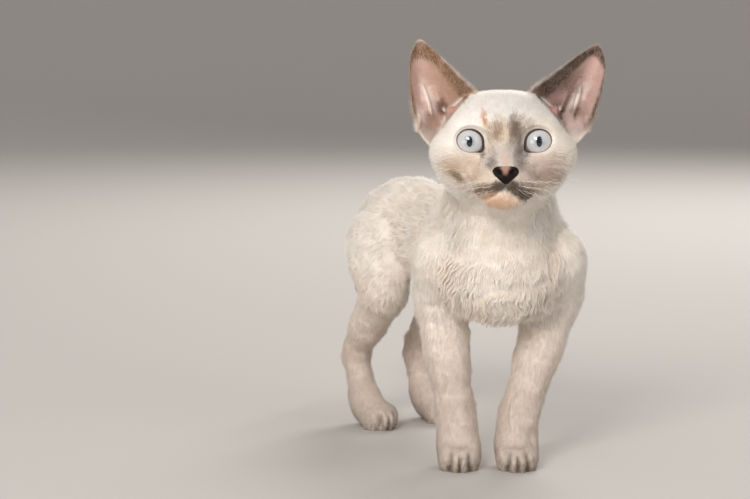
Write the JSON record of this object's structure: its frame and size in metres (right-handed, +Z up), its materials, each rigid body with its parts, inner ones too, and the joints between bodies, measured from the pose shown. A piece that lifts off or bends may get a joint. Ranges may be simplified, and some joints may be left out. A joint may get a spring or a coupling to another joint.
{
  "type": "cat model",
  "caption": "Life-size still model of a Devon Rex kitten that stands on all fours with raised head, large low-set ears, pale blue eyes and a short wavy cream coat.",
  "frame": {"origin": "on the floor, under the middle of the bounding box", "axes": "+Z up, -Y the way the face looks, +X the animal's left side"},
  "size_m": [0.1316, 0.3226, 0.215],
  "materials": {
    "body_coat": "short wavy cream fur",
    "face_coat": "short plush fur with grey and tan shading",
    "ear_coat": "very short fur over pink skin",
    "paw_coat": "short plush grey-beige fur",
    "nose_leather": "finely pebbled and slightly moist",
    "eye": "wet gloss over a pale blue iris"
  },
  "bodies": {
    "root": {"ear_left": "ear_coat", "ear_right": "ear_coat", "eye_left": "eye", "eye_right": "eye", "foreleg_left": "body_coat", "foreleg_right": "body_coat", "forepaw_left": "paw_coat", "forepaw_right": "paw_coat", "head": "face_coat", "hindpaw_left": "paw_coat", "hindpaw_right": "paw_coat", "neck": "body_coat", "nose": "nose_leather", "shank_left": "body_coat", "shank_right": "body_coat", "tail": "body_coat", "thigh_left": "body_coat", "thigh_right": "body_coat", "trunk": "body_coat"}
  },
  "joints": []
}
